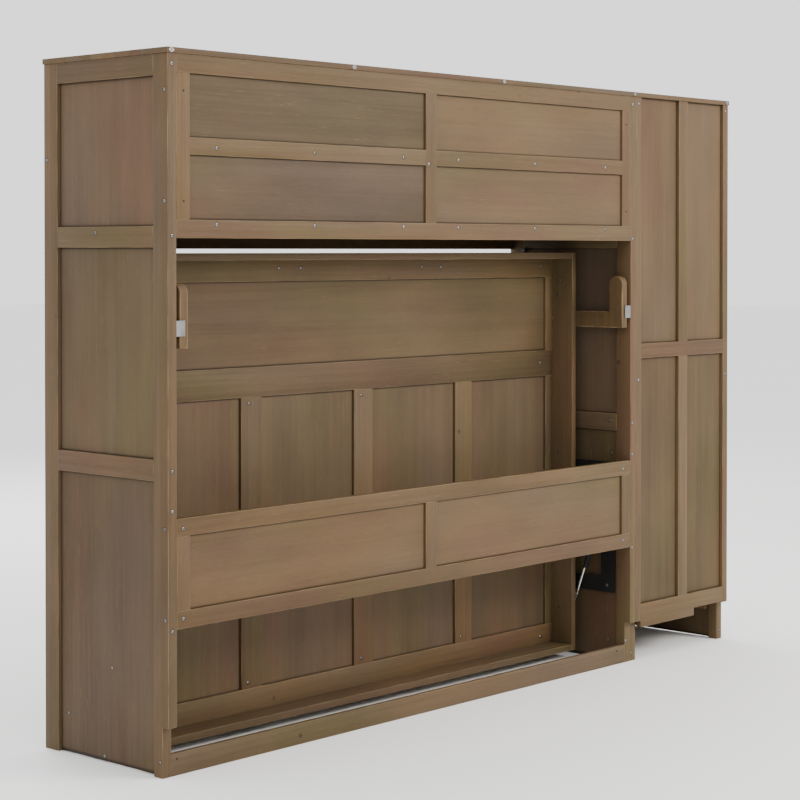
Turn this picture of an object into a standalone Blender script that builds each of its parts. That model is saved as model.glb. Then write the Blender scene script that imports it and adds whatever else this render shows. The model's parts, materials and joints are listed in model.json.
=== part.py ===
"""Side-tilting wall bed in a pine cabinet, with a wardrobe beside it.

Metres, +Z up. The room side faces -Y and the wall side faces +Y. The origin is the bottom centre.
Boards are placed by three distances: along, from the outer face of the end panel towards -X;
deep, from the rear plane towards the room (-Y); and height above the floor.
"""
import math

import bmesh
import bpy
from mathutils import Matrix, Vector

# Driving dimensions of the cabinet
HEIGHT = 2.030
DEPTH = 0.552
SIDE_T = 0.032                     # thickness of the framed sides
BAY_W = 2.125                      # clear width between the end panel and the partition
WARDROBE_W = 0.585
TOP_T = 0.016
OVERHANG = 0.003
BOARD_T = 0.018
FRAMED_T = 0.022                   # thickness of the framed panels at the rear
NOTCH_DEEP = 0.025                 # clears a baseboard behind the cabinet
NOTCH_HIGH = 0.142
KNOB_PROUD = 0.024
GAP = 0.0003                       # between boards that touch
EPS = 0.001                        # how far a cutter runs past the face it cuts

# Framed sides: two stiles and three rails, with thin panels set back on both faces
SIDE_STILE = 0.062
SIDE_RAILS = ((0.825, 0.885), (1.476, 1.536), (1.954, HEIGHT - TOP_T))
SIDE_SET_BACK = 0.012
REAR_FRAME_W = 0.050               # stiles and rails of the rear panels
REAR_SET_BACK = 0.008

# Upper store
STORE_LOW = 1.502                  # lower edge of the upper back panel
STORE_RAIL_W = 0.052               # its top and bottom rails
STORE_RAIL = (1.735, 1.784)        # its middle rail
STORE_FLOOR = 1.532                # underside of the store's bottom board
SHELF_MID = 1.757
HEADER_LOW = 1.4726                # lower edge of the front header rail

# Rear of the bed bay
CROSS = (0.414, 0.7225)
REAR_BASE_H = 0.063
FRONT_BASE_H = 0.052
FRONT_BASE_REAR = 0.512

# Bed box, closed
BED_GAP = 0.048                    # between the bed and each side
BED_RAIL_T = 0.022
BED_REAR = 0.208
BED_BASE = 0.297                   # rear face of the base, where the mattress lies
BED_BASE_T = 0.018
BED_FRONT = 0.500
BED_LOW = 0.028
BED_HIGH = 1.460
BED_FRONT_LOW = 0.065
BED_FRONT_RAIL = 0.068             # height of the front panel's lowest rail
CHAMFER_DEEP = 0.060
BASE_STILE = 0.086
BASE_STILE_STEP = 0.4995
BASE_EDGE_STILE = 0.0395
BASE_RAILS = ((BED_LOW + BED_RAIL_T, 0.118), (1.016, 1.109), (1.372, BED_HIGH - BED_RAIL_T))
HANDLE_OFFSET = 0.334              # of each handle from the middle of the bed
HANDLE_HOLES = 0.096
HANDLE_HIGH = 1.414
HANDLE_PROUD = 0.030
HANDLE_PAST_POST = 0.016
HANDLE_R = 0.006
HANDLE_POST_R = 0.005

# Rubber stops and steel keepers on the sides of the bay
STOP_W = 0.012
STOP_DEEP = (0.474, 0.494)
STOP_HIGH = (1.4615, 1.475)
KEEPER_HIGH = (1.229, 1.273)
KEEPER_DEEP = (0.0008, 0.0032)
KEEPER_W = 0.032
KEEPER_FLANGE_T = 0.0028
KEEPER_FLANGE_FRONT = 0.034

# Pivots, as (deep, height)
BED_PIVOT = (0.360, 0.240)
STRUT_TOP = (0.085, 0.600)
STRUT_FOOT = (0.257, 0.125)
LEG_PIVOT = (0.302, 1.223)
PIVOT_R = 0.010
PIVOT_HEAD = (0.016, 0.006)         # head radius and thickness
STUD_R = 0.005
STUD_HEAD = (0.014, 0.004)
LEG_BOLT_R = 0.006
LEG_BOLT_HEAD = (0.013, 0.005)
PIN_PLAY = 0.0003

# Bed legs: an arm and a foot, at rest folded back beside the bed
LEG_STAND_OFF = 0.016              # from the side panel
LEG_T = 0.030
LEG_W = 0.058
LEG_TIP = 1.377
LEG_REAR = 0.004

# Gas struts
BARREL_R = 0.010
ROD_R = 0.004
ROD_BORE_R = 0.0046
EYE_R = 0.012
EYE_T = 0.012
STRUT_STROKE = 0.2135              # rod showing with the bed closed
ROD_GRIP = 0.030                   # rod left inside the barrel with the bed closed

# Mechanism plates
PLATE_T = 0.004
PLATE_REAR, PLATE_FRONT = 0.069, 0.405
PLATE_LOW, PLATE_HIGH = 0.243, 0.712
PLATE_TAB_DEEP = 0.310
PLATE_TAB_LOW = 0.190
WINDOW_DEEP = (0.127, 0.300)
WINDOW_HIGH = (0.298, 0.655)

# Wardrobe
DECK = 0.440                       # underside of the board between drawer and door
WARDROBE_FLOOR = 0.146
WARDROBE_STEP = 0.118              # lower edge of the back's bottom rail near the bed
WARDROBE_STEP_W = 0.334
WARDROBE_BACK_T = 0.020
BACK_STILE_W = 0.055
BACK_RAILS = ((WARDROBE_FLOOR, 0.202), (1.0825, 1.135))
WARDROBE_SHELF = 1.700
WARDROBE_SHELF_FRONT = 0.500
PLINTH_REAR = 0.505
DOOR_FRAME_W = 0.060
DOOR_RAIL = (1.080, 1.140)
DOOR_SET_BACK = 0.006
DOOR_HINGES = (("lower", 0.620), ("upper", 1.850))
DRAWER_FRAME_W = 0.050
FRONT_PLAY = 0.003
RUNNER_T = 0.014
RUNNER_DEEP = (0.050, 0.500)
RUNNER_HIGH = (0.260, 0.300)
BOX_REAR = 0.040
BOX_HIGH = (0.180, 0.410)
BOX_WALL = 0.012
HANGER = (0.276, 1.620)
HANGER_R = 0.0125
KNOB_NECK_R = 0.007
KNOB_R = 0.014
KNOB_CAP_T = 0.012
DOOR_KNOB = (0.036, 1.110)          # from the inner side, and its height
HINGE_R = 0.0035
HINGE_HALF = 0.030                 # half its length
HINGE_PROUD = 0.0045               # of its axis, from the front plane
HINGE_LEAF = (0.022, 0.0022)        # width and thickness

# Derived places
PARTITION = SIDE_T + BAY_W
WARDROBE = PARTITION + SIDE_T
TOTAL = WARDROBE + WARDROBE_W
INNER_LOW = WARDROBE + SIDE_T
INNER_HIGH = TOTAL - SIDE_T
TOP = HEIGHT - TOP_T
BAY_MID = SIDE_T + BAY_W / 2
LEFT_X = TOTAL / 2
REAR_Y = (DEPTH + KNOB_PROUD - OVERHANG) / 2
BED_LEFT = SIDE_T + BED_GAP
BED_RIGHT = PARTITION - BED_GAP
BED_IN_LEFT = BED_LEFT + BED_RAIL_T
BED_IN_RIGHT = BED_RIGHT - BED_RAIL_T

COLOURS = {
    "pine": (0.29, 0.215, 0.15, 1.0),
    "zinc": (0.62, 0.62, 0.60, 1.0),
    "black_steel": (0.02, 0.02, 0.02, 1.0),
    "bright_steel": (0.72, 0.72, 0.72, 1.0),
    "black_plastic": (0.015, 0.015, 0.015, 1.0),
}
METALS = ("zinc", "black_steel", "bright_steel")
materials = {}


def clear_scene():
    for item in list(bpy.data.objects):
        bpy.data.objects.remove(item, do_unlink=True)


def finish(name):
    """The material of one finish, made once."""
    if name not in materials:
        material = bpy.data.materials.new(name)
        material.use_nodes = True
        shader = material.node_tree.nodes["Principled BSDF"]
        shader.inputs["Base Color"].default_value = COLOURS[name]
        shader.inputs["Metallic"].default_value = 1.0 if name in METALS else 0.0
        shader.inputs["Roughness"].default_value = 0.35 if name in METALS else 0.6
        materials[name] = material
    return materials[name]


def place(along, deep, height):
    return Vector((LEFT_X - along, REAR_Y - deep, height))


def mesh_object(name, mesh_bm, finish_name=None):
    mesh = bpy.data.meshes.new(name)
    bmesh.ops.recalc_face_normals(mesh_bm, faces=mesh_bm.faces)
    mesh_bm.to_mesh(mesh)
    mesh_bm.free()
    item = bpy.data.objects.new(name, mesh)
    bpy.context.scene.collection.objects.link(item)
    if finish_name:
        mesh.materials.append(finish(finish_name))
    return item


def add_block(mesh_bm, along, deep, height):
    low = place(along[1], deep[1], height[0])
    high = place(along[0], deep[0], height[1])
    size = high - low
    matrix = Matrix.Translation((low + high) / 2) @ Matrix.Diagonal((*size, 1.0))
    bmesh.ops.create_cube(mesh_bm, size=1.0, matrix=matrix)


def add_round(mesh_bm, start, end, radius, sides=24):
    run = end - start
    turn = run.to_track_quat("Z", "Y").to_matrix().to_4x4()
    matrix = Matrix.Translation((start + end) / 2) @ turn
    bmesh.ops.create_cone(mesh_bm, cap_ends=True, segments=sides, radius1=radius, radius2=radius,
                          depth=run.length, matrix=matrix)


def add_profile(mesh_bm, outline, along):
    """Extrude an outline of (deep, height) points from along[0] to along[1]."""
    near = [mesh_bm.verts.new(place(along[0], deep, height)) for deep, height in outline]
    face = mesh_bm.faces.new(near)
    far = bmesh.ops.extrude_face_region(mesh_bm, geom=[face])
    moved = [v for v in far["geom"] if isinstance(v, bmesh.types.BMVert)]
    bmesh.ops.translate(mesh_bm, verts=moved, vec=(along[0] - along[1], 0, 0))


def combine(item, tool_bm, operation):
    """Cut or join a hidden tool shape."""
    tool = mesh_object(item.name + "_tool", tool_bm)
    tool.hide_render = True
    tool.display_type = "WIRE"
    modifier = item.modifiers.new(operation.lower(), "BOOLEAN")
    modifier.operation = operation
    modifier.object = tool


def block(name, along, deep, height, finish_name="pine", cuts=()):
    """One board. It is half a gap small on every side, so boards that touch stay apart."""
    half = GAP / 2
    low = height[0] + (half if height[0] > 0 else 0)
    shape = bmesh.new()
    add_block(shape, (along[0] + half, along[1] - half), (deep[0] + half, deep[1] - half),
              (low, height[1] - half))
    item = mesh_object(name, shape, finish_name)
    if cuts:
        tools = bmesh.new()
        for cut in cuts:
            add_block(tools, *cut)
        combine(item, tools, "DIFFERENCE")
    return item


def profile(name, outline, along, finish_name="pine", holes=()):
    """An outline of (deep, height) points, extruded along, with round (deep, height, radius) holes."""
    shape = bmesh.new()
    add_profile(shape, outline, along)
    item = mesh_object(name, shape, finish_name)
    if holes:
        tools = bmesh.new()
        for deep, height, radius in holes:
            add_round(tools, place(along[0] - EPS, deep, height), place(along[1] + EPS, deep, height),
                      radius, sides=32)
        combine(item, tools, "DIFFERENCE")
    return item


def round_piece(name, stations, finish_name, smooth=True):
    """A straight row of (start, end, radius) cylinders that overlap, joined into one body."""
    shape = bmesh.new()
    add_round(shape, *stations[0])
    item = mesh_object(name, shape, finish_name)
    for station in stations[1:]:
        tool = bmesh.new()
        add_round(tool, *station)
        combine(item, tool, "UNION")
    if smooth:
        item.data.shade_smooth()
        item.data.set_sharp_from_angle(angle=math.radians(40))
    return item


def between(edges, low, high):
    """The open stretches that bars at the given (start, end) places leave between low and high."""
    gaps = []
    start = low
    for bar_low, bar_high in sorted(edges):
        if bar_low > start:
            gaps.append((start, bar_low))
        start = max(start, bar_high)
    if high > start:
        gaps.append((start, high))
    return gaps


def arc(centre, radius, start, end, steps=10):
    """Points on an arc in (deep, height), angles in degrees from the deep axis."""
    turns = [math.radians(start + (end - start) * i / steps) for i in range(steps + 1)]
    return [(centre[0] + radius * math.cos(a), centre[1] + radius * math.sin(a)) for a in turns]


def mirrored(along):
    """The same stretch at the other end of the bed bay."""
    return (2 * BAY_MID - along[1], 2 * BAY_MID - along[0])


# Cabinet

def framed_side(name, along):
    """A side with stiles and rails; its lowest panel runs to the floor."""
    stiles = ((0, SIDE_STILE), (DEPTH - SIDE_STILE, DEPTH))
    cuts = [((along[0] - EPS, along[1] + EPS), (-EPS, NOTCH_DEEP), (-EPS, NOTCH_HIGH))]
    panel_deep = between(stiles, 0, DEPTH)[0]
    for number, opening in enumerate(between(SIDE_RAILS, 0, TOP)):
        high = (opening[0] if number else -EPS, opening[1])
        cuts.append(((along[0] - EPS, along[0] + SIDE_SET_BACK), panel_deep, high))
        cuts.append(((along[1] - SIDE_SET_BACK, along[1] + EPS), panel_deep, high))
    return block(name, along, (0, DEPTH), (0, TOP), cuts=cuts)


def framed_rear(name, height, rails):
    """A framed panel across the bed bay, with a centre stile, flush with the rear plane."""
    along = (SIDE_T, PARTITION)
    stiles = ((along[0], along[0] + REAR_FRAME_W), (along[1] - REAR_FRAME_W, along[1]),
              (BAY_MID - REAR_FRAME_W / 2, BAY_MID + REAR_FRAME_W / 2))
    cuts = []
    for wide in between(stiles, *along):
        for high in between(rails, *height):
            cuts.append((wide, (-EPS, REAR_SET_BACK), high))
            cuts.append((wide, (FRAMED_T - REAR_SET_BACK, FRAMED_T + EPS), high))
    return block(name, along, (0, FRAMED_T), height, cuts=cuts)


def cabinet():
    framed_side("end_panel", (0, SIDE_T))
    framed_side("partition_panel", (PARTITION, WARDROBE))
    block("top_board", (-OVERHANG, WARDROBE), (-OVERHANG, DEPTH + OVERHANG), (TOP, HEIGHT))
    framed_rear("upper_back_panel", (STORE_LOW, TOP),
                ((STORE_LOW, STORE_LOW + STORE_RAIL_W), STORE_RAIL, (TOP - STORE_RAIL_W, TOP)))
    framed_rear("rear_cross_panel", CROSS,
                ((CROSS[0], CROSS[0] + REAR_FRAME_W), (CROSS[1] - REAR_FRAME_W, CROSS[1])))
    bay = (SIDE_T, PARTITION)
    store_deep = (FRAMED_T, DEPTH - BOARD_T)
    store_top = STORE_FLOOR + BOARD_T
    middle = (BAY_MID - BOARD_T / 2, BAY_MID + BOARD_T / 2)
    shelf_high = (SHELF_MID - BOARD_T / 2, SHELF_MID + BOARD_T / 2)
    block("upper_bottom_board", bay, store_deep, (STORE_FLOOR, store_top))
    block("upper_divider", middle, (FRAMED_T, DEPTH), (store_top, TOP))
    block("upper_shelf_left", (SIDE_T, middle[0]), store_deep, shelf_high)
    block("upper_shelf_right", (middle[1], PARTITION), store_deep, shelf_high)
    block("front_header_rail", bay, (DEPTH - BOARD_T, DEPTH), (HEADER_LOW, store_top))
    block("rear_base_rail", bay, (NOTCH_DEEP, NOTCH_DEEP + BOARD_T), (0, REAR_BASE_H))
    block("front_base_rail", bay, (FRONT_BASE_REAR, FRONT_BASE_REAR + BOARD_T), (0, FRONT_BASE_H))


def mechanism_plate(side, along, stud_tip):
    """Black steel plate with a window, the strut's upper stud fixed to it, and the bed pivot's hole."""
    outline = ((PLATE_REAR, PLATE_LOW), (PLATE_TAB_DEEP, PLATE_LOW), (PLATE_TAB_DEEP, PLATE_TAB_LOW),
               (PLATE_FRONT, PLATE_TAB_LOW), (PLATE_FRONT, PLATE_HIGH), (PLATE_REAR, PLATE_HIGH))
    item = profile("mechanism_plate_" + side, outline, along, "black_steel",
                   holes=((*BED_PIVOT, PIVOT_R + PIN_PLAY),))
    window = bmesh.new()
    add_block(window, (along[0] - EPS, along[1] + EPS), WINDOW_DEEP, WINDOW_HIGH)
    combine(item, window, "DIFFERENCE")
    stud = bmesh.new()
    add_round(stud, place(sum(along) / 2, *STRUT_TOP), place(stud_tip, *STRUT_TOP), STUD_R - PIN_PLAY)
    combine(item, stud, "UNION")


def leg_keeper(side, along, flange):
    """A steel angle: a strap behind the folded leg and a flange on the side panel."""
    strap = bmesh.new()
    add_block(strap, along, KEEPER_DEEP, KEEPER_HIGH)
    item = mesh_object("leg_keeper_" + side, strap, "zinc")
    fold = bmesh.new()
    add_block(fold, flange, (KEEPER_DEEP[0], KEEPER_FLANGE_FRONT), KEEPER_HIGH)
    combine(item, fold, "UNION")


def bay_hardware():
    plate = (SIDE_T + GAP, SIDE_T + GAP + PLATE_T)
    eye_far = SIDE_T + BED_GAP / 2 + EYE_T / 2
    mechanism_plate("left", plate, eye_far)
    mechanism_plate("right", mirrored(plate), 2 * BAY_MID - eye_far)
    strap = (SIDE_T + GAP, SIDE_T + KEEPER_W)
    flange = (SIDE_T + GAP, SIDE_T + KEEPER_FLANGE_T)
    leg_keeper("left", strap, flange)
    leg_keeper("right", mirrored(strap), mirrored(flange))
    stop = (SIDE_T, SIDE_T + STOP_W)
    for side, along in (("left", stop), ("right", mirrored(stop))):
        block("bed_stop_" + side, along, STOP_DEEP, STOP_HIGH, "black_plastic")


# Bed

def bed_side_rail(side, along):
    outline = ((BED_REAR, BED_LOW), (BED_FRONT - CHAMFER_DEEP, BED_LOW), (BED_FRONT, BED_FRONT_LOW),
               (BED_FRONT, BED_HIGH), (BED_REAR, BED_HIGH))
    holes = ((*BED_PIVOT, PIVOT_R + PIN_PLAY), (*LEG_PIVOT, LEG_BOLT_R + PIN_PLAY))
    profile("bed_rail_" + side, outline, along, holes=holes)


def bed_panel(name, deep, height, rails, face):
    """The framed board of the bed, its panels set back on one face."""
    along = (BED_IN_LEFT, BED_IN_RIGHT)
    edges = ((along[0], along[0] + BASE_EDGE_STILE), (along[1] - BASE_EDGE_STILE, along[1]))
    centres = [BAY_MID + BASE_STILE_STEP * i for i in (-1, 0, 1)]
    inner = tuple((c - BASE_STILE / 2, c + BASE_STILE / 2) for c in centres)
    set_back = (deep[0] - EPS, deep[0] + REAR_SET_BACK) if face == "rear" else \
        (deep[1] - REAR_SET_BACK, deep[1] + EPS)
    lower, upper = between(rails, *height)
    cuts = [(wide, set_back, lower) for wide in between(edges + inner, *along)]
    cuts += [(wide, set_back, upper) for wide in between(edges, *along)]
    return block(name, along, deep, height, cuts=cuts)


def bed_box():
    bed_side_rail("left", (BED_LEFT, BED_IN_LEFT - GAP))
    bed_side_rail("right", (BED_IN_RIGHT + GAP, BED_RIGHT))
    inner = (BED_IN_LEFT, BED_IN_RIGHT)
    front = BED_FRONT - BED_BASE_T
    low_top = BED_LOW + BED_RAIL_T
    high_low = BED_HIGH - BED_RAIL_T
    block("bed_rail_top", inner, (BED_REAR, BED_FRONT), (high_low, BED_HIGH))
    block("bed_rail_bottom", inner, (BED_REAR, BED_FRONT - CHAMFER_DEEP), (BED_LOW, low_top))
    bed_panel("bed_base_panel", (BED_BASE, BED_BASE + BED_BASE_T), (low_top, high_low), BASE_RAILS, "rear")
    front_rails = ((BED_FRONT_LOW, BED_FRONT_LOW + BED_FRONT_RAIL), *BASE_RAILS[1:])
    bed_panel("bed_front_panel", (front, BED_FRONT), (BED_FRONT_LOW, high_low), front_rails, "front")
    for number in (1, 2, 3):
        centre = BAY_MID + BASE_STILE_STEP * (number - 2)
        block(f"bed_joist_{number}", (centre - BOARD_T / 2, centre + BOARD_T / 2),
              (BED_BASE + BED_BASE_T, front), (low_top, high_low),
              cuts=(((centre - BOARD_T, centre + BOARD_T), (BED_FRONT - CHAMFER_DEEP - EPS, BED_FRONT),
                     (0, BED_FRONT_LOW)),))


def bed_handle(side, centre):
    """A bar on two posts."""
    posts = (centre - HANDLE_HOLES / 2, centre + HANDLE_HOLES / 2)
    bar_deep = BED_FRONT + HANDLE_PROUD
    stations = [(place(posts[0] - HANDLE_PAST_POST, bar_deep, HANDLE_HIGH),
                 place(posts[1] + HANDLE_PAST_POST, bar_deep, HANDLE_HIGH), HANDLE_R)]
    for post in posts:
        stations.append((place(post, BED_FRONT + GAP, HANDLE_HIGH), place(post, bar_deep, HANDLE_HIGH),
                         HANDLE_POST_R))
    round_piece("bed_handle_" + side, stations, "black_steel")


def pin(name, tip, neck, end, pivot, radius, head_radius, finish_name):
    """A pin along the bed's length, from its tip; its head runs from the neck to the end."""
    stations = ((place(tip, *pivot), place(end, *pivot), radius),
                (place(neck, *pivot), place(end, *pivot), head_radius))
    round_piece(name, stations, finish_name)


def bed_hardware():
    """Pivot bolts, strut studs and leg bolts, the right-hand ones mirrored from the left."""
    bolt = (SIDE_T + 2 * GAP, BED_IN_LEFT + GAP, BED_IN_LEFT + PIVOT_HEAD[1])
    stud = (SIDE_T + BED_GAP / 2 + EYE_T / 2 + 2 * GAP, BED_LEFT - STUD_HEAD[1], BED_LEFT - GAP)
    leg_outer = SIDE_T + LEG_STAND_OFF
    leg_bolt = (BED_IN_LEFT, leg_outer - GAP, leg_outer - LEG_BOLT_HEAD[1])
    for side in ("left", "right"):
        def at(stations):
            return stations if side == "left" else [2 * BAY_MID - along for along in stations]
        pin("bed_pivot_bolt_" + side, *at(bolt), BED_PIVOT, PIVOT_R, PIVOT_HEAD[0], "zinc")
        pin("strut_stud_" + side, *at(stud), STRUT_FOOT, STUD_R, STUD_HEAD[0], "black_steel")
        pin("leg_bolt_" + side, *at(leg_bolt), LEG_PIVOT, LEG_BOLT_R, LEG_BOLT_HEAD[0], "zinc")
    bed_handle("left", BAY_MID - HANDLE_OFFSET)
    bed_handle("right", BAY_MID + HANDLE_OFFSET)


def leg(side, along):
    """An arm with a round end at its pivot and a foot with a round tip."""
    half = LEG_W / 2
    low = LEG_PIVOT[1] - half
    high = LEG_PIVOT[1] + half
    foot_front = LEG_REAR + LEG_W
    outline = arc(LEG_PIVOT, half, -90, 90)
    outline += [(foot_front, high)]
    outline += arc((LEG_REAR + half, LEG_TIP - half), half, 0, 180)
    outline += [(LEG_REAR, low)]
    profile("bed_leg_" + side, outline, along, holes=((*LEG_PIVOT, LEG_BOLT_R + PIN_PLAY),))


def strut(side, centre):
    """Barrel hung from the plate's stud, and the rod that slides in it."""
    top = place(centre, *STRUT_TOP)
    foot = place(centre, *STRUT_FOOT)
    run = (foot - top).normalized()
    length = (foot - top).length
    mouth = top + run * (length - STRUT_STROKE)
    half_eye = Vector((EYE_T / 2, 0, 0))
    past_eye = Vector((EYE_T, 0, 0))
    barrel = round_piece("strut_barrel_" + side,
                         ((top + run * (EYE_R - 0.002), mouth, BARREL_R),
                          (top - half_eye, top + half_eye, EYE_R)), "black_steel")
    hole = bmesh.new()
    add_round(hole, top - past_eye, top + past_eye, STUD_R, sides=32)
    combine(barrel, hole, "DIFFERENCE")
    bore = bmesh.new()
    add_round(bore, mouth + run * EPS, mouth - run * (STRUT_STROKE + ROD_GRIP), ROD_BORE_R)
    combine(barrel, bore, "DIFFERENCE")
    round_piece("strut_rod_" + side,
                ((foot - run * 0.006, mouth - run * ROD_GRIP, ROD_R),
                 (foot - half_eye, foot + half_eye, EYE_R - 0.002)), "bright_steel")


def legs_and_struts():
    leg_along = (SIDE_T + LEG_STAND_OFF, SIDE_T + LEG_STAND_OFF + LEG_T)
    leg("left", leg_along)
    leg("right", mirrored(leg_along))
    strut_centre = SIDE_T + BED_GAP / 2
    strut("left", strut_centre)
    strut("right", 2 * BAY_MID - strut_centre)


# Wardrobe

def wardrobe_case():
    framed_side("wardrobe_inner_side", (WARDROBE, INNER_LOW))
    framed_side("wardrobe_outer_side", (INNER_HIGH, TOTAL))
    block("wardrobe_top_board", (WARDROBE, TOTAL + OVERHANG), (-OVERHANG, DEPTH + OVERHANG), (TOP, HEIGHT))
    inner = (INNER_LOW, INNER_HIGH)
    back_t = WARDROBE_BACK_T
    middle = (INNER_LOW + INNER_HIGH) / 2
    step_end = INNER_LOW + WARDROBE_STEP_W
    stile = ((middle - BACK_STILE_W / 2, middle + BACK_STILE_W / 2),)
    cuts = [((step_end, INNER_HIGH + EPS), (-EPS, back_t + EPS), (0, WARDROBE_FLOOR))]
    for wide in between(stile, *inner):
        low = wide[0] - (EPS if wide[0] == inner[0] else 0)
        high = wide[1] + (EPS if wide[1] == inner[1] else 0)
        for opening in between(BACK_RAILS, WARDROBE_FLOOR, TOP + EPS):
            cuts.append(((low, high), (-EPS, SIDE_SET_BACK), opening))
    block("wardrobe_back_panel", inner, (0, back_t), (WARDROBE_STEP, TOP), cuts=cuts)
    deep = (back_t, DEPTH - BOARD_T)
    block("wardrobe_bottom_board", inner, deep, (WARDROBE_FLOOR, WARDROBE_FLOOR + BOARD_T))
    block("wardrobe_deck", inner, deep, (DECK, DECK + BOARD_T))
    block("wardrobe_shelf", inner, (back_t, WARDROBE_SHELF_FRONT), (WARDROBE_SHELF, WARDROBE_SHELF + BOARD_T))
    block("wardrobe_plinth", inner, (PLINTH_REAR, PLINTH_REAR + BOARD_T), (0, WARDROBE_FLOOR))
    round_piece("hanging_rail", ((place(INNER_LOW + GAP, *HANGER), place(INNER_HIGH - GAP, *HANGER),
                                  HANGER_R),), "bright_steel")
    for side, along in (("inner", (INNER_LOW, INNER_LOW + RUNNER_T)),
                        ("outer", (INNER_HIGH - RUNNER_T, INNER_HIGH))):
        block("drawer_runner_" + side, along, RUNNER_DEEP, RUNNER_HIGH, "zinc")


def knob(name, along, height):
    """A turned knob: a neck and a wider cap."""
    tip = DEPTH + KNOB_PROUD
    cap = tip - KNOB_CAP_T
    neck = (place(along, DEPTH + GAP, height), place(along, (cap + tip) / 2, height), KNOB_NECK_R)
    disc = (place(along, cap, height), place(along, tip, height), KNOB_R)
    round_piece(name, (neck, disc), "black_steel")


def framed_front(name, height, rails):
    """An inset door or drawer front with frame and panel."""
    along = (INNER_LOW + FRONT_PLAY, INNER_HIGH - FRONT_PLAY)
    deep = (DEPTH - BOARD_T, DEPTH)
    stiles = ((along[0], along[0] + DOOR_FRAME_W), (along[1] - DOOR_FRAME_W, along[1]))
    wide = between(stiles, *along)[0]
    cuts = [(wide, (DEPTH - DOOR_SET_BACK, DEPTH + EPS), opening) for opening in between(rails, *height)]
    block(name, along, deep, height, cuts=cuts)


def fronts():
    door = (DECK + BOARD_T + FRONT_PLAY, TOP - FRONT_PLAY)
    door_rails = ((door[0], door[0] + DOOR_FRAME_W), DOOR_RAIL, (door[1] - DOOR_FRAME_W, door[1]))
    framed_front("wardrobe_door", door, door_rails)
    knob("door_knob", INNER_LOW + DOOR_KNOB[0], DOOR_KNOB[1])
    for name, height in DOOR_HINGES:
        door_hinge("door_hinge_" + name, height)
    drawer = (WARDROBE_FLOOR + FRONT_PLAY, DECK + BOARD_T - FRONT_PLAY)
    framed_front("drawer_front", drawer,
                 ((drawer[0], drawer[0] + DRAWER_FRAME_W), (drawer[1] - DRAWER_FRAME_W, drawer[1])))
    knob("drawer_knob", (INNER_LOW + INNER_HIGH) / 2, sum(drawer) / 2)
    box_along = (INNER_LOW + RUNNER_T, INNER_HIGH - RUNNER_T)
    box_deep = (BOX_REAR, DEPTH - BOARD_T)
    hollow = ((box_along[0] + BOX_WALL, box_along[1] - BOX_WALL),
              (box_deep[0] + BOX_WALL, box_deep[1] - BOX_WALL), (BOX_HIGH[0] + BOX_WALL, BOX_HIGH[1] + EPS))
    block("drawer_box", box_along, box_deep, BOX_HIGH, cuts=(hollow,))


def door_hinge(name, height):
    """A knuckle with its leaf screwed to the front edge of the outer side."""
    axis = INNER_HIGH - FRONT_PLAY / 2
    deep = DEPTH + HINGE_PROUD
    high = (height - HINGE_HALF, height + HINGE_HALF)
    item = round_piece(name, ((place(axis, deep, high[0]), place(axis, deep, high[1]), HINGE_R),),
                       "zinc", smooth=False)
    leaf = bmesh.new()
    add_block(leaf, (axis, axis + HINGE_LEAF[0]), (DEPTH + GAP, DEPTH + HINGE_LEAF[1]), high)
    combine(item, leaf, "UNION")


clear_scene()
cabinet()
bay_hardware()
bed_box()
bed_hardware()
legs_and_struts()
wardrobe_case()
fronts()
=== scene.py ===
"""Looks of a side-tilting wall bed in a pine cabinet, with a wardrobe beside it.

Every board is its own bevelled solid with its own run of grain. Places are given as in the design:
along, from the end panel's outer face towards -X; deep, from the rear plane towards the room (-Y);
and height. They are worked out from the CAD nodes' boxes and the framing sizes below.
"""

import json
import math
import random

import bmesh
import bpy
from mathutils import Matrix, Vector


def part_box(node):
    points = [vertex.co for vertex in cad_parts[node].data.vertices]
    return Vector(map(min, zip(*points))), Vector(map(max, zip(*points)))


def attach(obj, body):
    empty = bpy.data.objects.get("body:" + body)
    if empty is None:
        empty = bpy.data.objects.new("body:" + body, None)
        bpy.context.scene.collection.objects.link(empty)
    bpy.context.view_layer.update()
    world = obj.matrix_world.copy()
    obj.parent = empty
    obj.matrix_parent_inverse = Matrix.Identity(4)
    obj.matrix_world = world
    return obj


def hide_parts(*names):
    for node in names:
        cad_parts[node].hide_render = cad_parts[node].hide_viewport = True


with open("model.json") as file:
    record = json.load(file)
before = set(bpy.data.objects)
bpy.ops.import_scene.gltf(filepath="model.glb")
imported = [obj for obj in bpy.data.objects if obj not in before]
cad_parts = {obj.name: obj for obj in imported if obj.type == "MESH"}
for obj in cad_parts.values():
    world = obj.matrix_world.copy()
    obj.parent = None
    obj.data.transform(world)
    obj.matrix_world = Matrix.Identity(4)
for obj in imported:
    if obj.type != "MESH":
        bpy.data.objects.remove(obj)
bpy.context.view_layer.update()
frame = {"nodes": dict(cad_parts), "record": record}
NODE_BODY = {node: body for body, nodes in frame["record"]["behaviour"]["bodies"].items() for node in nodes}
RANDOM = random.Random(11)

LEFT_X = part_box("end_panel")[1].x
REAR_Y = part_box("end_panel")[1].y

# Framing of the sides, the same on all four
SIDE_STILE = 0.062
SIDE_RAILS = ((0.825, 0.885), (1.476, 1.536), (1.954, 2.014))
SIDE_SET_BACK = 0.012
NOTCH_DEEP, NOTCH_HIGH = 0.025, 0.142

# Framing of the rear panels
REAR_FRAME_W = 0.050
REAR_SET_BACK = 0.008
STORE_RAILS = ((1.502, 1.554), (1.735, 1.784), (1.962, 2.014))
CROSS_RAILS = ((0.414, 0.464), (0.6725, 0.7225))

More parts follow.
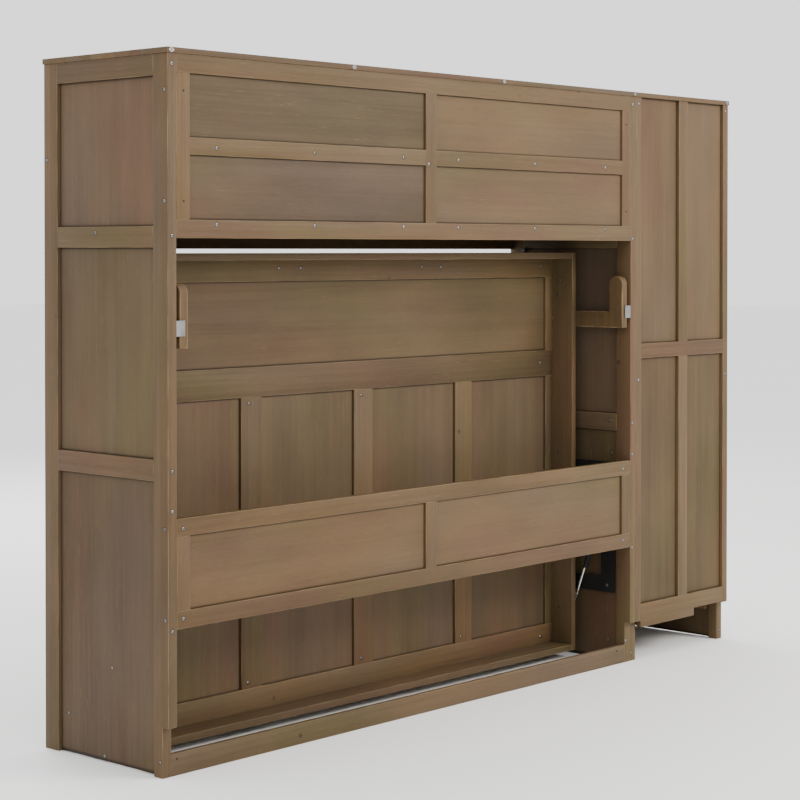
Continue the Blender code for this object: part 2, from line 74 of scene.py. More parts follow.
# Framing of the bed's base and front
BASE_RAILS = ((0.050, 0.118), (1.016, 1.109), (1.372, 1.438))
BASE_STILE, BASE_EDGE_STILE, BASE_STEP = 0.086, 0.0395, 0.4995
BED_FRONT_RAIL = (0.065, 0.133)
BED_CHAMFER = (0.060, 0.037)        # deep and height of the cut lower front corner

# Framing of the wardrobe's back and fronts
BACK_STILE_W = 0.055
BACK_RAILS = ((0.146, 0.202), (1.0825, 1.135))
BACK_STEP_W = 0.334
CLEAT = (0.020, 0.034)              # thickness and height
CLEAT_RUN = (0.066, 0.480)          # distances from the rear plane
DOOR_FRAME_W, DRAWER_FRAME_W = 0.060, 0.050
DOOR_RAIL = (1.080, 1.140)
FRONT_SET_BACK = (0.003, 0.006)     # of the panels, behind and in front
DRAWER_WALL = 0.0118
DRAWER_BOTTOM_UP = 0.004            # above the walls' lower edges

# Pivots, as (deep, height)
BED_PIVOT = (0.360, 0.240)
STRUT_TOP = (0.085, 0.600)
STRUT_FOOT = (0.257, 0.125)
STRUT_STROKE = 0.2135
LEG_PIVOT = (0.302, 1.223)
LEG_W = 0.058

# Joinery
EDGE = 0.0013                       # softened edges of the boards
PANEL_EDGE = 0.0004
STAVE_EDGE = 0.0003
LEG_EDGE = 0.0035
SHARP_ANGLE = math.radians(25)      # edges bent by more than this are softened
JOINT = 0.0002                      # between boards that meet
TONGUE = 0.005                      # a panel runs this far into its frame
PANEL_FOOT = 0.003                  # the lowest panels stop short of the floor
JOIST_GAP = 0.001                   # between the joists' cut corners and the rails' chamfer
POOL_AND_SHADE_W = 0.006                      # stain and painted shade gather this far in from a frame's edge
STAVE_W = 0.11                      # width of the staves in a glued-up board
GRAIN_ORDER = ((0, 2, 1), (1, 2, 0), (2, 0, 1))     # world axes, the one along the grain first

# Steelwork
STRUT_EYE = (0.0118, 0.012, 0.0015)                 # radius, width and softened rim
STRUT_SOCKET = (0.0099, 0.0118, 0.002)
EYE_HALF = Vector((0.006, 0, 0))
BARREL_R, BARREL_GROOVE_R = 0.0099, 0.0090
ROD_R = 0.0039
SHEET_T = 0.002                                     # folded sheet of the drawer's runners
WASHER_T = 0.0012
SCREW_R, SCREW_PROUD, SCREW_ROOT = 0.0048, 0.0014, 0.003
SCREW_RINGS = (0.10, 0.30, 0.52, 0.60, 0.80, 0.93, 1.0)     # shares of the head's radius
RECESS_REACH, RECESS_ARM = 0.56, 0.17               # shares of the head's radius
CORNER_PLATE = (0.018, 0.0012, 0.0110)

# Lightness and warmth of the panels: the warmth is the stain, which some boards took more than others, and
# the lightness is partly painted light and shade
# Painted shade: the sides darker towards the bottom, away from the light above
SIDE_SHADE_AND_WARMTH = ((-0.10, 0.10), (-0.07, 0.0), (-0.02, 0.0))
# Painted light and shade: the upper back darker on the left and lighter on the right, nearer the key light
UPPER_BACK_LIGHT_AND_WARMTH = ((-0.10, 0.15), (0.10, 0.35))
CROSS_LOOK = (0.05, 0.55)
BASE_LOOK = (-0.06, 0.35)
# Painted shade: the wardrobe's back darker in its lower field
WARDROBE_BACK_SHADE_AND_WARMTH = ((-0.22, 0.60), (0.0, 0.45))
PANEL_WARMTH, PANEL_LIGHTNESS = (0.0, 0.30), (-0.05, 0.05)
BOARD_WARMTH, BOARD_LIGHTNESS = (0.35, 1.0), (-0.13, 0.11)
GRAIN_SHIFT = 9                     # the grain starts up to this far off, so that no two boards match

REAR = Vector((0, 1, 0))            # directions that screw heads face
ROOM = Vector((0, -1, 0))
OUT_LEFT = Vector((1, 0, 0))
OUT_RIGHT = Vector((-1, 0, 0))
UP = Vector((0, 0, 1))


def place(along, deep, height):
    """The point in the frame at a place of the design."""
    return Vector((LEFT_X - along, REAR_Y - deep, height))


def span(node):
    """The (along, deep, height) stretches of a CAD node."""
    low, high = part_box(node)
    return ((LEFT_X - high.x, LEFT_X - low.x), (REAR_Y - high.y, REAR_Y - low.y), (low.z, high.z))


BAY = (span("end_panel")[0][1], span("partition_panel")[0][0])
BAY_MID = sum(BAY) / 2
PARTITION = span("partition_panel")[0]
INNER_SIDE = span("wardrobe_inner_side")[0]
OUTER_SIDE = span("wardrobe_outer_side")[0]
TOP = span("top_board")[2]


def between(bars, low, high):
    """The open stretches that bars at the given (start, end) places leave between low and high."""
    gaps = []
    start = low
    for bar_low, bar_high in sorted(bars):
        if bar_low > start:
            gaps.append((start, bar_low))
        start = max(start, bar_high)
    if high > start + EDGE:
        gaps.append((start, high))
    return gaps


def shrink(stretch, by):
    """A stretch drawn in at both ends, or let out where by is negative."""
    return (stretch[0] + by, stretch[1] - by)


def around(middle, width):
    """The stretch of the given width about a middle."""
    return (middle - width / 2, middle + width / 2)


def both_ends(stretch, width):
    """The stretches of the given width at the two ends of a stretch."""
    return [(stretch[0], stretch[0] + width), (stretch[1] - width, stretch[1])]


def across(along):
    """The mirrored place at the other end of the bed bay."""
    return 2 * BAY_MID - along


# Materials

class Graph:
    """A node material under construction."""

    def __init__(self, name):
        self.material = bpy.data.materials.new(name)
        self.material.use_nodes = True
        self.tree = self.material.node_tree
        self.shader = self.tree.nodes["Principled BSDF"]

    def put(self, socket, value):
        if isinstance(value, bpy.types.NodeSocket):
            self.tree.links.new(value, socket)
        else:
            socket.default_value = value

    def add(self, kind, settings=(), inputs=()):
        made = self.tree.nodes.new(kind)
        for key, value in dict(settings).items():
            setattr(made, key, value)
        for key, value in dict(inputs).items():
            self.put(made.inputs[key], value)
        return made

    def attribute(self, name):
        return self.add("ShaderNodeAttribute", {"attribute_name": name})

    def noise(self, vector, stretch, detail=3.0, roughness=0.5, distortion=0.0):
        scaled = self.add("ShaderNodeVectorMath", {"operation": "MULTIPLY"}, {0: vector, 1: stretch})
        inputs = {"Vector": scaled.outputs[0], "Scale": 1.0, "Detail": detail, "Roughness": roughness,
                  "Distortion": distortion}
        return self.add("ShaderNodeTexNoise", inputs=inputs).outputs["Fac"]

    def remap(self, value, low, high, to_low=0.0, to_high=1.0):
        inputs = {"Value": value, "From Min": low, "From Max": high, "To Min": to_low, "To Max": to_high}
        return self.add("ShaderNodeMapRange", inputs=inputs).outputs["Result"]

    def math(self, operation, first, second):
        return self.add("ShaderNodeMath", {"operation": operation}, {0: first, 1: second}).outputs[0]

    def mix(self, factor, first, second, blend="MIX"):
        made = self.add("ShaderNodeMix", {"data_type": "RGBA", "blend_type": blend})
        for socket, value in ((0, factor), (6, first), (7, second)):    # the colour sockets' numbers
            self.put(made.inputs[socket], value)
        return made.outputs[2]

    def bump(self, height, strength, distance):
        inputs = {"Height": height, "Strength": strength, "Distance": distance}
        self.put(self.shader.inputs["Normal"], self.add("ShaderNodeBump", inputs=inputs).outputs["Normal"])

    def surface(self, **inputs):
        for key, value in inputs.items():
            self.put(self.shader.inputs[key.replace("_", " ")], value)


GREY_BROWN = (0.082, 0.055, 0.035, 1)
WARM_BROWN = (0.100, 0.061, 0.027, 1)
OLIVE_BROWN = (0.084, 0.062, 0.025, 1)
RED_BROWN = (0.092, 0.050, 0.030, 1)
WORN_WOOD = (0.215, 0.145, 0.078, 1)
DARK_STAIN_AND_SHADE = (0.014, 0.009, 0.005, 1)


def stained_tint(graph, grain, warmth):
    """Grey to warm brown by the board's warmth, with olive and ruddy patches."""
    drift = graph.noise(grain, (1.3, 3.4, 3.4), detail=1.0)
    warm = graph.math("ADD", warmth, graph.remap(drift, 0.3, 0.7, -0.35, 0.35))
    colour = graph.mix(graph.remap(warm, 0.0, 1.0), GREY_BROWN, WARM_BROWN)
    olive = graph.noise(grain, (1.1, 2.9, 2.9), detail=1.5)
    colour = graph.mix(graph.remap(olive, 0.46, 0.66, 0.0, 0.75), colour, OLIVE_BROWN)
    ruddy = graph.noise(grain, (1.3, 3.4, 3.4), detail=2.0)
    return graph.mix(graph.remap(ruddy, 0.52, 0.68, 0.0, 0.7), colour, RED_BROWN)


def grain_value(graph, grain, streak, lightness, knotty):
    """How light the wood is: streaks, deeper in knotty boards, then growth bands and blotches."""
    depth = graph.remap(knotty, 0.0, 1.0, 0.16, 0.42)
    value = graph.math("ADD", graph.math("MULTIPLY", graph.math("SUBTRACT", streak, 0.5), depth), 1.0)
    # The board's lightness, which carries the painted light and shade of the looks
    value = graph.math("ADD", value, lightness)
    bands = graph.noise(grain, (0.55, 17.0, 17.0), detail=3.0, distortion=0.5)
    value = graph.math("ADD", value, graph.remap(bands, 0.25, 0.75, -0.10, 0.10))
    blotch = graph.noise(grain, (2.4, 5.0, 5.0), detail=2.5)
    return graph.math("ADD", value, graph.remap(blotch, 0.25, 0.75, -0.14, 0.14))


def stain_shade_and_wear(graph, grain, colour, knotty):
    """Knots, stain and painted shade gathered at the frames' edges, and edges rubbed through to the wood."""
    cells = graph.add("ShaderNodeTexVoronoi", inputs={"Vector": grain, "Scale": 6.0, "Randomness": 1.0})
    knot = graph.math("MULTIPLY", graph.remap(cells.outputs["Distance"], 0.062, 0.018), knotty)
    colour = graph.mix(graph.math("MULTIPLY", knot, 0.6), colour, DARK_STAIN_AND_SHADE)
    # Painted shade in the recess where each panel meets its frame, together with the stain that gathers there
    pool = graph.remap(graph.attribute("pool").outputs["Fac"], 0.0, 0.55, 0.0, 0.78)
    colour = graph.mix(pool, colour, DARK_STAIN_AND_SHADE)
    rubbed = graph.remap(graph.noise(grain, (9.0, 30.0, 30.0), detail=4.0), 0.42, 0.62, 0.12, 0.75)
    worn = graph.math("MULTIPLY", graph.attribute("wear").outputs["Fac"], rubbed)
    return graph.mix(worn, colour, WORN_WOOD)


def pine():
    """Stained pine. Grain, tone (its lightness partly painted light and shade), wear, and the pooled stain
    and painted shade at the frames' edges come from each board's own attributes.
    """
    graph = Graph("stained_pine")
    grain = graph.attribute("grain").outputs["Vector"]
    tone = graph.add("ShaderNodeSeparateXYZ", inputs={0: graph.attribute("tone").outputs["Vector"]})
    lightness, warmth, knotty = tone.outputs
    streak = graph.noise(grain, (2.0, 95.0, 95.0), detail=5.0, roughness=0.62)
    flecks = graph.remap(graph.noise(grain, (14.0, 520.0, 520.0), detail=2.0), 0.67, 0.76)
    pores = graph.remap(graph.noise(grain, (26.0, 900.0, 900.0), detail=1.0), 0.60, 0.74)

    value = grain_value(graph, grain, streak, lightness, knotty)
    colour = graph.mix(1.0, stained_tint(graph, grain, warmth), value, "MULTIPLY")
    colour = graph.mix(graph.math("MULTIPLY", flecks, 0.42), colour, WORN_WOOD)
    colour = graph.mix(graph.math("MULTIPLY", pores, 0.25), colour, DARK_STAIN_AND_SHADE)
    colour = stain_shade_and_wear(graph, grain, colour, knotty)

    height = graph.math("SUBTRACT", streak, graph.math("MULTIPLY", pores, 0.5))
    graph.bump(height, 0.22, 0.0007)
    graph.surface(Base_Color=colour, Roughness=graph.remap(streak, 0.3, 0.7, 0.66, 0.50),
                  Specular_IOR_Level=0.16)
    return graph.material


def metal(name, colour, dark, roughness, metallic, grain_scale, bump=0.05, specular=0.5):
    """Plated or coated steel, or moulded plastic, its finish varied by a fine and a broad noise."""
    graph = Graph(name)
    place_at = graph.add("ShaderNodeTexCoord").outputs["Object"]
    fine = graph.noise(place_at, (grain_scale,) * 3, detail=4.0)
    broad = graph.noise(place_at, (14.0,) * 3, detail=3.0)
    tint = graph.mix(graph.remap(broad, 0.35, 0.70), colour, dark)
    graph.bump(fine, bump, 0.0002)
    graph.surface(Base_Color=tint, Metallic=metallic, Specular_IOR_Level=specular,
                  Roughness=graph.remap(fine, 0.3, 0.7, roughness[0], roughness[1]))
    return graph.material


PINE = pine()
ZINC = metal("zinc_plate", (0.30, 0.30, 0.29, 1), (0.17, 0.17, 0.17, 1), (0.28, 0.45), 1.0, 600.0)
BLACK_STEEL = metal("black_powder_coat", (0.006, 0.006, 0.006, 1), (0.011, 0.011, 0.010, 1), (0.42, 0.60),
                    0.0, 1400.0, bump=0.25, specular=0.25)
BRIGHT_STEEL = metal("bright_steel", (0.80, 0.80, 0.80, 1), (0.62, 0.63, 0.65, 1), (0.10, 0.22), 1.0, 900.0)
BLACK_PLASTIC = metal("black_moulding", (0.014, 0.014, 0.014, 1), (0.024, 0.023, 0.022, 1), (0.45, 0.60),
                      0.0, 2200.0, bump=0.3)
SLOTS = {"pine": PINE, "zinc": ZINC, "black_steel": BLACK_STEEL, "bright_steel": BRIGHT_STEEL,
         "black_plastic": BLACK_PLASTIC}


# Pieces

def unique(things):
    """Each thing once, in the order of its first place."""
    return list(dict.fromkeys(things))


def edges_of(verts):
    return unique(edge for vert in verts for edge in vert.link_edges)


def faces_of(verts):
    return unique(face for vert in verts for face in vert.link_faces)


def block(mesh_bm, spans):
    """Add a block over (along, deep, height) stretches, and return its corners."""
    low = place(spans[0][1], spans[1][1], spans[2][0])
    high = place(spans[0][0], spans[1][0], spans[2][1])
    matrix = Matrix.Translation((low + high) / 2) @ Matrix.Diagonal((*(high - low), 1.0))
    return bmesh.ops.create_cube(mesh_bm, size=1.0, matrix=matrix)["verts"]


def soft_block(mesh_bm, spans, soft):
    """Add a block of metal with softened edges."""
    edges = edges_of(block(mesh_bm, spans))
    bmesh.ops.bevel(mesh_bm, geom=edges, offset=soft, segments=2, affect="EDGES")


def piece(name, mesh_bm, slot, body, nodes=(), sharp=25):
    """Turn a finished shape into a piece that rides on a body and stands for CAD nodes."""
    mesh = bpy.data.meshes.new(name)
    bmesh.ops.recalc_face_normals(mesh_bm, faces=mesh_bm.faces)
    mesh_bm.to_mesh(mesh)
    mesh_bm.free()
    mesh.shade_smooth()
    mesh.set_sharp_from_angle(angle=math.radians(sharp))
    mesh.materials.append(SLOTS[slot])
    item = bpy.data.objects.new(name, mesh)
    bpy.context.scene.collection.objects.link(item)
    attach(item, body)
    if nodes:
        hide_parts(*nodes)


class Joinery:
    """Boards in one mesh, with the grain, tone, wear, and pooled stain and painted shade that the wood reads.
    """

    def __init__(self):
        self.mesh = bmesh.new()
        self.grain = self.mesh.verts.layers.float_vector.new("grain")
        self.pool = self.mesh.verts.layers.float.new("pool")
        self.tone = self.mesh.faces.layers.float_vector.new("tone")
        self.wear = self.mesh.faces.layers.float.new("wear")

    def board(self, spans, grain, panel=False, bevel=EDGE, look=(0.0, 0.0)):
        """A straight board. Grain is 0, 1 or 2: along, deep or height. Look adds to lightness, where light
        and shade are painted, and to warmth.
        """
        self.dress(block(self.mesh, spans), grain, panel, bevel, look=look)

    def panel(self, spans, grain, look=(0.0, 0.0)):
        """A thin panel whose edges run into the frame, with stain and painted shade gathered at the frame's
        edge.
        """
        self.board(spans, grain, panel=True, bevel=PANEL_EDGE, look=look)

    def profile(self, outline, stretch, grain, bevel=EDGE, segments=2, axis=0):
        """An outline extruded over a stretch: (deep, height) points along, or (along, height) points deep."""
        if axis == 0:
            near = [self.mesh.verts.new(place(stretch[0], deep, height)) for deep, height in outline]
        else:
            near = [self.mesh.verts.new(place(along, stretch[0], height)) for along, height in outline]
        face = self.mesh.faces.new(near)
        made = bmesh.ops.extrude_face_region(self.mesh, geom=[face])["geom"]
        far = [part for part in made if isinstance(part, bmesh.types.BMVert)]
        move = Vector((0, 0, 0))
        move[axis] = stretch[0] - stretch[1]
        bmesh.ops.translate(self.mesh, verts=far, vec=move)
        self.dress(near + far, grain, False, bevel, segments)

    def staves(self, spans, grain, wide_axis):
        """A board glued up from staves of about the same width, with tight joints."""
        low, high = spans[wide_axis]
        count = max(2, round((high - low) / STAVE_W))
        step = (high - low) / count
        for number in range(count):
            part = list(spans)
            part[wide_axis] = (low + step * number, low + step * (number + 1))
            self.board(part, grain, bevel=STAVE_EDGE)

    def dress(self, verts, grain, panel, bevel, segments=2, look=(0.0, 0.0)):
        """Soften a new board's edges and write its attributes."""
        sharp = [edge for edge in edges_of(verts) if edge.calc_face_angle(0) > SHARP_ANGLE]
        shaped = bmesh.ops.bevel(self.mesh, geom=sharp, offset=bevel, segments=segments, profile=0.5,
                                 affect="EDGES", clamp_overlap=True)
        verts = unique([vert for vert in verts if vert.is_valid] + list(shaped["verts"]))
        faces = faces_of(verts)
        broad = [face for face in faces if 2 * face.calc_area() / face.calc_perimeter() > bevel]
        inner = set()
        if panel:
            largest = max(face.calc_area() for face in broad)
            flat = [face for face in broad if face.calc_area() > 0.8 * largest]
            bmesh.ops.inset_individual(self.mesh, faces=flat, thickness=TONGUE + POOL_AND_SHADE_W, use_even_offset=True)
            inner = {vert for face in flat for vert in face.verts}
            verts = unique(verts + [vert for face in flat for vert in face.verts])
            faces = faces_of(verts)
        warmth = RANDOM.uniform(*(PANEL_WARMTH if panel else BOARD_WARMTH)) + look[1]
        # A look's lightness paints light and shade over the board's random lightness
        lightness = RANDOM.uniform(*(PANEL_LIGHTNESS if panel else BOARD_LIGHTNESS)) + look[0]
        shift = Vector([RANDOM.uniform(-GRAIN_SHIFT, GRAIN_SHIFT) for _ in range(3)])
        for vert in verts:
            vert[self.grain] = Vector([vert.co[axis] for axis in GRAIN_ORDER[grain]]) + shift
            # The panel's outer ring by the frame takes the pooled stain and painted shade
            vert[self.pool] = 1.0 if panel and vert not in inner else 0.0
        broad = set(broad)
        for face in faces:
            face[self.tone] = Vector((lightness, warmth, 0.0 if panel else 1.0))
            face[self.wear] = 0.0 if face in broad or panel else 1.0

    def done(self, node):
        """Turn the boards into the piece that stands for a node."""
        piece(node + "_boards", self.mesh, "pine", NODE_BODY[node], (node,))


def revolve(mesh_bm, profile, origin, axis, sides=32):
    """Turn a profile of (radius, distance) points about an axis; its ends close on the axis."""
    axis = Vector(axis).normalized()
    side = axis.orthogonal().normalized()
    other = axis.cross(side)
    rings = []
    for radius, distance in profile:
        centre = origin + axis * distance
        if radius == 0:
            rings.append([mesh_bm.verts.new(centre)])
            continue
        turns = [2 * math.pi * i / sides for i in range(sides)]
        rings.append([mesh_bm.verts.new(centre + (side * math.cos(a) + other * math.sin(a)) * radius)
                      for a in turns])
    for first, second in zip(rings, rings[1:]):
        for i in range(sides):
            j = (i + 1) % sides
            corners = [first[i % len(first)], first[j % len(first)], second[j % len(second)],
                       second[i % len(second)]]
            mesh_bm.faces.new(unique(corners))


def rounded(radius, start, end, soft):
    """Profile of a cylinder from start to end with softened rims."""
    turns = [math.pi / 2 * i / 4 for i in range(5)]
    rise = [(radius - soft + soft * math.sin(a), start + soft - soft * math.cos(a)) for a in turns]
    fall = [(radius - soft + soft * math.cos(a), end - soft + soft * math.sin(a)) for a in turns]
    return [(0, start), *rise, *fall, (0, end)]


def screw_head(mesh_bm, point, facing, radius):
    """A domed head with a cross recess, standing just proud of the wood."""
    facing = Vector(facing).normalized()
    side_way = facing.orthogonal().normalized()
    twist = RANDOM.uniform(0, math.pi / 2)
    side_way.rotate(Matrix.Rotation(twist, 3, facing))
    other_way = facing.cross(side_way)
    sides = 24
    rings = []
    for share in SCREW_RINGS:
        ring = []
        spread = radius * share
        dome = SCREW_PROUD * math.sqrt(1 - (share * 0.97) ** 2)
        for i in range(sides):
            angle = 2 * math.pi * i / sides
            off_arm = min(abs(math.cos(angle)), abs(math.sin(angle))) * spread
            in_recess = share < RECESS_REACH and off_arm < radius * RECESS_ARM
            high = -SCREW_PROUD * 1.2 if in_recess else dome
            way = side_way * math.cos(angle) + other_way * math.sin(angle)
            ring.append(mesh_bm.verts.new(point + way * spread + facing * high))
        rings.append(ring)
    base = [mesh_bm.verts.new(v.co - facing * (facing.dot(v.co - point) + SCREW_ROOT)) for v in rings[-1]]
    rings.append(base)
    mesh_bm.faces.new(rings[0])
    mesh_bm.faces.new(list(reversed(base)))
    for first, second in zip(rings, rings[1:]):
        for i in range(sides):
            j = (i + 1) % sides
            mesh_bm.faces.new((first[i], second[i], second[j], first[j]))


def screws(name, body, places, slot="zinc", radius=SCREW_R):
    """Screw heads at (point, facing) places, as one piece."""
    mesh_bm = bmesh.new()
    for point, facing in places:
        screw_head(mesh_bm, point, facing, radius)
    piece(name, mesh_bm, slot, body, sharp=40)


def painted_countersink_shade(name, body, places, radius=SCREW_R):
    """Painted shade round the screw heads, where the countersinks lie in shadow, as thin dark rims of wood.
    """
    rim = [(radius * 0.9, 0.0003), (radius * 1.45, 0.0002), (radius * 1.5, -0.001)]
    shade_rings = Joinery()
    for point, facing in places:
        revolve(shade_rings.mesh, rim, point, facing, sides=20)
    # The rims are painted shade throughout, so they are fully dark
    for vert in shade_rings.mesh.verts:
        vert[shade_rings.pool] = 1.0
        vert[shade_rings.grain] = vert.co
    piece(name + "_rims", shade_rings.mesh, "pine", body, sharp=40)


# Cabinet boards

def side(node):
    """A framed side: full-height stiles, rails between them, and panels on the middle plane."""
    along, deep, high = span(node)
    rear, front = both_ends(deep, SIDE_STILE)
    notch = (deep[0] + NOTCH_DEEP, NOTCH_HIGH)
    made = Joinery()
    made.board((along, front, high), 2)
    outline = ((notch[0], high[0]), (rear[1], high[0]), (rear[1], high[1]), (rear[0], high[1]),
               (rear[0], notch[1]), notch)
    made.profile(outline, along, 2)
    wide = (rear[1] + JOINT, front[0] - JOINT)
    for rail in SIDE_RAILS:
        made.board((along, wide, (rail[0], min(rail[1], high[1]))), 1)
    thin = shrink(along, SIDE_SET_BACK)
    for number, field in enumerate(between(SIDE_RAILS, PANEL_FOOT + TONGUE, high[1])):
        made.panel((thin, shrink(wide, -TONGUE), shrink(field, -TONGUE)), 2, SIDE_SHADE_AND_WARMTH[number])
    made.done(node)


def railed(node, rails, stiles_at, thin, panel_grain, look=(0.0, 0.0)):
    """A framed panel whose rails run full width, with stiles and panels between them.

    The stiles and the panels' grain are asked for by the number of the field, counted from below.
    """
    wide, deep, high = span(node)
    made = Joinery()
    for rail in rails:
        made.board((wide, deep, (max(rail[0], high[0]), min(rail[1], high[1]))), 0)
    for number, field in enumerate(between(rails, *high)):
        stiles = stiles_at(number)
        field = shrink(field, JOINT)
        for stile in stiles:
            made.board((stile, deep, field), 2)
        for gap in between(stiles, *wide):
            made.panel((shrink(gap, -TONGUE), thin, shrink(field, -TONGUE)), panel_grain(number), look)
    made.done(node)


def rear_stiles(wide):
    """The stiles of the rear panels: one at each end and one in the middle of the bay."""
    return both_ends(wide, REAR_FRAME_W) + [around(BAY_MID, REAR_FRAME_W)]


def upper_back():
    """The upper back: its middle rail is in two lengths, butted to the centre stile."""
    wide, deep, high = span("upper_back_panel")
    thin = shrink(deep, REAR_SET_BACK)
    low_rail, mid_rail, top_rail = STORE_RAILS
    stiles = rear_stiles(wide)
    made = Joinery()
    made.board((wide, deep, (high[0], low_rail[1])), 0)
    made.board((wide, deep, (top_rail[0], high[1])), 0)
    inner = (low_rail[1] + JOINT, top_rail[0] - JOINT)
    for stile in stiles:
        made.board((stile, deep, inner), 2)
    for gap, look in zip(between(stiles, *wide), UPPER_BACK_LIGHT_AND_WARMTH):
        made.board((shrink(gap, JOINT), deep, mid_rail), 0)
        for field in between((mid_rail,), *inner):
            made.panel((shrink(gap, -TONGUE), thin, shrink(field, -TONGUE)), 0, look)
    made.done("upper_back_panel")


def cross_panel():
    """The low panel across the back of the bay, with two panels between its rails."""
    wide, deep = span("rear_cross_panel")[:2]
    stiles = rear_stiles(wide)
    railed("rear_cross_panel", CROSS_RAILS, lambda field: stiles, shrink(deep, REAR_SET_BACK),
           lambda field: 0, CROSS_LOOK)


def plain_board(node, grain, wide_axis=None):
    """One board, or staves glued side by side where a wide axis is given."""
    made = Joinery()
    if wide_axis is None:
        made.board(span(node), grain)
    else:
        made.staves(span(node), grain, wide_axis)
    made.done(node)


def cabinet_boards():
    """Every board of the cabinet and the wardrobe's body."""
    for node in ("end_panel", "partition_panel", "wardrobe_inner_side", "wardrobe_outer_side"):
        side(node)
    upper_back()
    cross_panel()
    for node in ("top_board", "wardrobe_top_board", "upper_bottom_board", "upper_shelf_left",
                 "upper_shelf_right", "wardrobe_bottom_board", "wardrobe_deck", "wardrobe_shelf"):
        plain_board(node, 0, wide_axis=1)
    plain_board("upper_divider", 2, wide_axis=1)
    for node in ("front_header_rail", "rear_base_rail", "front_base_rail", "wardrobe_plinth"):
        plain_board(node, 0)
    wardrobe_back()
    wardrobe_cleats()


def wardrobe_back():
    """Panels either side of a centre stile, with a stepped bottom rail and no top rail."""
    wide, deep, high = span("wardrobe_back_panel")
    stile = around(sum(wide) / 2, BACK_STILE_W)
    thin = (deep[0] + SIDE_SET_BACK, deep[1])
    low_rail, mid_rail = BACK_RAILS
    step_end = wide[0] + BACK_STEP_W
    made = Joinery()
    outline = ((wide[0], high[0]), (step_end, high[0]), (step_end, low_rail[0]), (wide[1], low_rail[0]),
               (wide[1], low_rail[1]), (wide[0], low_rail[1]))
    made.profile(outline, deep, 0, axis=1)
    made.board((wide, deep, mid_rail), 0)
    for field, look in zip(between(BACK_RAILS, low_rail[0], high[1]), WARDROBE_BACK_SHADE_AND_WARMTH):
        made.board((stile, deep, shrink(field, JOINT)), 2)
        for gap in between((stile,), *wide):
            made.panel((shrink(gap, -TONGUE), thin, shrink(field, -TONGUE)), 2, look)
    made.done("wardrobe_back_panel")


def wardrobe_cleats():
    """Cleats under the wardrobe's bottom board, on the inner faces of its sides."""
    along = span("wardrobe_bottom_board")[0]
    low = span("wardrobe_bottom_board")[2][0]
    made = Joinery()
    for cleat in both_ends(along, CLEAT[0]):
        made.board((cleat, CLEAT_RUN, (low - CLEAT[1], low - JOINT)), 1)
    piece("wardrobe_cleats", made.mesh, "pine", "cabinet")


# Bed boards

def bed_rail(node):
    """An end rail of the bed, its lower front corner cut off at a slant."""
    along, deep, high = span(node)
    outline = ((deep[0], high[0]), (deep[1] - BED_CHAMFER[0], high[0]),
               (deep[1], high[0] + BED_CHAMFER[1]), (deep[1], high[1]), (deep[0], high[1]))
    made = Joinery()
    made.profile(outline, along, 2)
    made.done(node)


def bed_faces():
    """The framed base and front: four panels below and one across the top."""
    wide, deep = span("bed_base_panel")[:2]
    edges = both_ends(wide, BASE_EDGE_STILE)
    lower = edges + [around(BAY_MID + BASE_STEP * i, BASE_STILE) for i in (-1, 0, 1)]
    railed("bed_base_panel", BASE_RAILS, lambda field: edges if field else lower,
           (deep[0] + REAR_SET_BACK, deep[1]), lambda field: 0 if field else 2, BASE_LOOK)
    deep = span("bed_front_panel")[1]
    railed("bed_front_panel", (BED_FRONT_RAIL, *BASE_RAILS[1:]), lambda field: edges if field else lower,
           (deep[0], deep[1] - REAR_SET_BACK), lambda field: 0 if field else 2)


def bed_boards():
    """The bed's rails, joists, base and front."""
    for node in ("bed_rail_left", "bed_rail_right"):
        bed_rail(node)
    for node in ("bed_rail_top", "bed_rail_bottom"):
        plain_board(node, 0)
    for number in (1, 2, 3):
        joist(f"bed_joist_{number}")
    bed_faces()


def joist(node):
    """An upright inside the bed, its lower front corner cut to clear the chamfer."""
    along, deep, high = span(node)
    cut_deep = span("bed_rail_left")[1][1] - BED_CHAMFER[0] - JOIST_GAP
    outline = ((deep[0], high[0]), (cut_deep, high[0]), (cut_deep, BED_FRONT_RAIL[0]),
               (deep[1], BED_FRONT_RAIL[0]), (deep[1], high[1]), (deep[0], high[1]))
    made = Joinery()
    made.profile(outline, along, 2)
    made.done(node)


def arc(centre, radius, start, end, steps=14):
    """Points on an arc in (deep, height), angles in degrees from the deep axis."""
    turns = [math.radians(start + (end - start) * i / steps) for i in range(steps + 1)]
    return [(centre[0] + radius * math.cos(a), centre[1] + radius * math.sin(a)) for a in turns]


def legs():
    """Swing-down legs with well-rounded edges."""
    half = LEG_W / 2
    for node in ("bed_leg_left", "bed_leg_right"):
        along, deep, high = span(node)
        outline = arc(LEG_PIVOT, half, -90, 90)
        outline.append((deep[0] + LEG_W, LEG_PIVOT[1] + half))
        outline += arc((deep[0] + half, high[1] - half), half, 0, 180)
        outline.append((deep[0], high[0]))
        made = Joinery()
        made.profile(outline, along, 2, bevel=LEG_EDGE, segments=3)
        made.done(node)


# Wardrobe fronts and drawer

def framed_front(node, rails, stile_w):
    """An inset front: full-height stiles, rails between them, and panels set back from both faces."""
    wide, deep, high = span(node)
    stiles = both_ends(wide, stile_w)
    inner = (stiles[0][1] + JOINT, stiles[1][0] - JOINT)
    thin = (deep[0] + FRONT_SET_BACK[0], deep[1] - FRONT_SET_BACK[1])
    made = Joinery()
    for stile in stiles:
        made.board((stile, deep, high), 2)
    for rail in rails:
        made.board((inner, deep, rail), 0)
    for field in between(rails, *high):
        made.panel((shrink(inner, -TONGUE), thin, shrink(field, -TONGUE)), 2)
    made.done(node)


